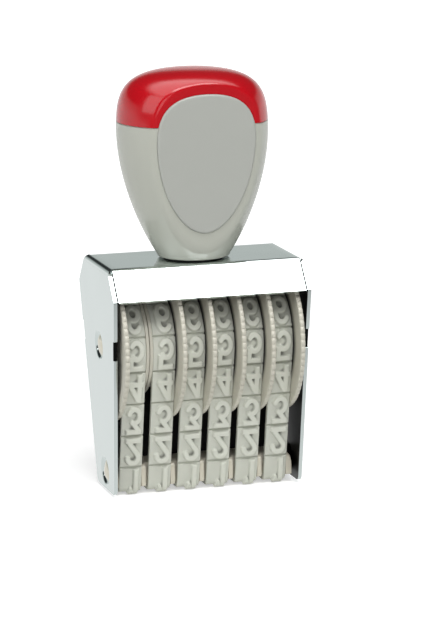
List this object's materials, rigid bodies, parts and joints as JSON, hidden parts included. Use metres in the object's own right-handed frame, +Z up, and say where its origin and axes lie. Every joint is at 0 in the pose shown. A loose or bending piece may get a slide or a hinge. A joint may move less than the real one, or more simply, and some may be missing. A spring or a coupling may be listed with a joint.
{
  "type": "numbering machine",
  "caption": "Hand numbering stamp: folded chrome frame, finger wheels and endless digit bands over a bridge, grey handle with a red cap.",
  "frame": {"origin": "centre of the printing face on the paper, under the middle of the frame", "axes": "+Z up from the paper along the handle, +X along the wheel axle to the right, +Y to the back"},
  "size_m": [0.056, 0.0428, 0.1174],
  "materials": {
    "frame": "bright chrome plate",
    "rivet_steel": "peened steel",
    "washer_steel": "zinc plated",
    "wheel_plastic": "satin moulded cream",
    "band_rubber": "matt grey-green rubber",
    "bridge": "satin moulded cream",
    "handle_stud": "zinc plated",
    "handle_seat_washer": "matt black",
    "handle_insert": "turned",
    "handle_body": "glossy moulded grey",
    "handle_cap": "glossy moulded red",
    "badge": "glossy moulded light grey"
  },
  "bodies": {
    "stamp": {"frame": "frame", "axle": "rivet_steel", "axle_washer_left": "washer_steel", "axle_washer_right": "washer_steel", "band_1": "band_rubber", "band_2": "band_rubber", "band_3": "band_rubber", "band_4": "band_rubber", "band_5": "band_rubber", "band_6": "band_rubber", "bridge": "bridge", "bridge_rod": "rivet_steel", "handle_stud": "handle_stud", "handle_seat_washer": "handle_seat_washer", "handle_insert": "handle_insert", "handle_body": "handle_body", "handle_cap": "handle_cap", "badge_front": "badge", "badge_back": "badge"},
    "wheel_1": {"wheel_1": "wheel_plastic"},
    "wheel_2": {"wheel_2": "wheel_plastic"},
    "wheel_3": {"wheel_3": "wheel_plastic"},
    "wheel_4": {"wheel_4": "wheel_plastic"},
    "wheel_5": {"wheel_5": "wheel_plastic"},
    "wheel_6": {"wheel_6": "wheel_plastic"}
  },
  "joints": [
    {"name": "wheel_1_turn", "type": "hinge", "parent": "stamp", "child": "wheel_1", "pos_m": [0, 0, 0.0418], "axis": [1, 0, 0], "continuous": true},
    {"name": "wheel_2_turn", "type": "hinge", "parent": "stamp", "child": "wheel_2", "pos_m": [0, 0, 0.0418], "axis": [1, 0, 0], "continuous": true},
    {"name": "wheel_3_turn", "type": "hinge", "parent": "stamp", "child": "wheel_3", "pos_m": [0, 0, 0.0418], "axis": [1, 0, 0], "continuous": true},
    {"name": "wheel_4_turn", "type": "hinge", "parent": "stamp", "child": "wheel_4", "pos_m": [0, 0, 0.0418], "axis": [1, 0, 0], "continuous": true},
    {"name": "wheel_5_turn", "type": "hinge", "parent": "stamp", "child": "wheel_5", "pos_m": [0, 0, 0.0418], "axis": [1, 0, 0], "continuous": true},
    {"name": "wheel_6_turn", "type": "hinge", "parent": "stamp", "child": "wheel_6", "pos_m": [0, 0, 0.0418], "axis": [1, 0, 0], "continuous": true}
  ]
}
